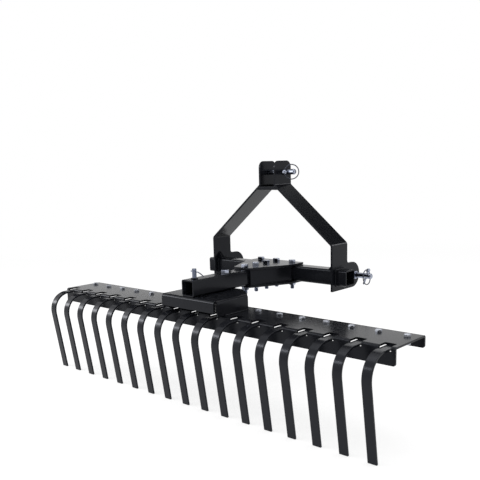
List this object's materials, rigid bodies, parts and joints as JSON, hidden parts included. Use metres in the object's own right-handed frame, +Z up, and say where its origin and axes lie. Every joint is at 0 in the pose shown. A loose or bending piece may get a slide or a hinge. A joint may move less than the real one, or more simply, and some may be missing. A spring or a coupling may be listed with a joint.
{
  "type": "tractor landscape rake",
  "caption": "Landscape rake: curved tines on a notched channel beam that swivels under a boom, with a three-point hitch mast, lower pins and linch pins.",
  "frame": {"origin": "middle of the axis of the two lower hitch pins, on the rake's plane of symmetry", "axes": "+X along the beam, to the right as seen from behind; +Y forward to the tractor; +Z up"},
  "size_m": [1.219, 0.5276, 0.6475],
  "materials": {
    "black_powder_coat": "satin black powder coat",
    "black_tine_coat": "satin black coat on spring steel",
    "zinc_plate": "bright zinc plate"
  },
  "bodies": {
    "hitch_frame": {"boom_tube": "black_powder_coat", "crossbar_tube": "black_powder_coat", "gusset_plate_top": "black_powder_coat", "gusset_pan_bottom": "black_powder_coat", "mast_side_right": "black_powder_coat", "mast_side_left": "black_powder_coat", "mast_spacer": "black_powder_coat", "junction_bolt_1": "zinc_plate", "junction_bolt_2": "zinc_plate", "junction_bolt_3": "zinc_plate", "junction_bolt_4": "zinc_plate", "junction_bolt_5": "zinc_plate", "junction_bolt_6": "zinc_plate", "pivot_bolt": "zinc_plate", "lower_hitch_pin_right": "zinc_plate", "lower_hitch_pin_left": "zinc_plate"},
    "rake_head": {"swivel_saddle": "black_powder_coat", "rake_beam": "black_powder_coat", "tine_01": "black_tine_coat", "tine_02": "black_tine_coat", "tine_03": "black_tine_coat", "tine_04": "black_tine_coat", "tine_05": "black_tine_coat", "tine_06": "black_tine_coat", "tine_07": "black_tine_coat", "tine_08": "black_tine_coat", "tine_09": "black_tine_coat", "tine_10": "black_tine_coat", "tine_11": "black_tine_coat", "tine_12": "black_tine_coat", "tine_13": "black_tine_coat", "tine_14": "black_tine_coat", "tine_15": "black_tine_coat", "tine_16": "black_tine_coat", "tine_17": "black_tine_coat", "tine_bolt_01": "zinc_plate", "tine_bolt_02": "zinc_plate", "tine_bolt_03": "zinc_plate", "tine_bolt_04": "zinc_plate", "tine_bolt_05": "zinc_plate", "tine_bolt_06": "zinc_plate", "tine_bolt_07": "zinc_plate", "tine_bolt_08": "zinc_plate", "tine_bolt_09": "zinc_plate", "tine_bolt_10": "zinc_plate", "tine_bolt_11": "zinc_plate", "tine_bolt_12": "zinc_plate", "tine_bolt_13": "zinc_plate", "tine_bolt_14": "zinc_plate", "tine_bolt_15": "zinc_plate", "tine_bolt_16": "zinc_plate", "tine_bolt_17": "zinc_plate"},
    "lock_pin": {"lock_pin": "zinc_plate"},
    "top_link_pin": {"top_link_pin": "zinc_plate"},
    "linch_pin_top": {"linch_pin_top": "zinc_plate"},
    "linch_ring_top": {"linch_ring_top": "zinc_plate"},
    "linch_pin_right": {"linch_pin_right": "zinc_plate"},
    "linch_ring_right": {"linch_ring_right": "zinc_plate"},
    "linch_pin_left": {"linch_pin_left": "zinc_plate"},
    "linch_ring_left": {"linch_ring_left": "zinc_plate"}
  },
  "joints": [
    {"name": "head_swivel", "type": "hinge", "parent": "hitch_frame", "child": "rake_head", "pos_m": [0, -0.2913, -0.0635], "axis": [0, 0, 1], "range_deg": [-30, 30]},
    {"name": "lock_pin_slide", "type": "slide", "parent": "hitch_frame", "child": "lock_pin", "axis": [0, 0, 1], "range_m": [-0.007, 0.03]},
    {"name": "top_pin_slide", "type": "slide", "parent": "hitch_frame", "child": "top_link_pin", "axis": [-1, 0, 0], "range_m": [0, 0.012]},
    {"name": "top_linch_slide", "type": "slide", "parent": "top_link_pin", "child": "linch_pin_top", "axis": [0, -1, 0], "range_m": [0, 0.012]},
    {"name": "top_ring_hinge", "type": "hinge", "parent": "linch_pin_top", "child": "linch_ring_top", "pos_m": [0.05, -0.0805, 0.298], "axis": [0, 0, -1], "range_deg": [-40, 120]},
    {"name": "right_linch_slide", "type": "slide", "parent": "hitch_frame", "child": "linch_pin_right", "axis": [0, 0.5592, 0.829], "range_m": [0, 0.012]},
    {"name": "right_ring_hinge", "type": "hinge", "parent": "linch_pin_right", "child": "linch_ring_right", "pos_m": [0.28, 0.00951, 0.01409], "axis": [0, -0.829, 0.5592], "range_deg": [0, 165]},
    {"name": "left_linch_slide", "type": "slide", "parent": "hitch_frame", "child": "linch_pin_left", "axis": [0, -0.5592, 0.829], "range_m": [0, 0.012]},
    {"name": "left_ring_hinge", "type": "hinge", "parent": "linch_pin_left", "child": "linch_ring_left", "pos_m": [-0.28, -0.00951, 0.01409], "axis": [0, 0.829, 0.5592], "range_deg": [0, 165]}
  ]
}
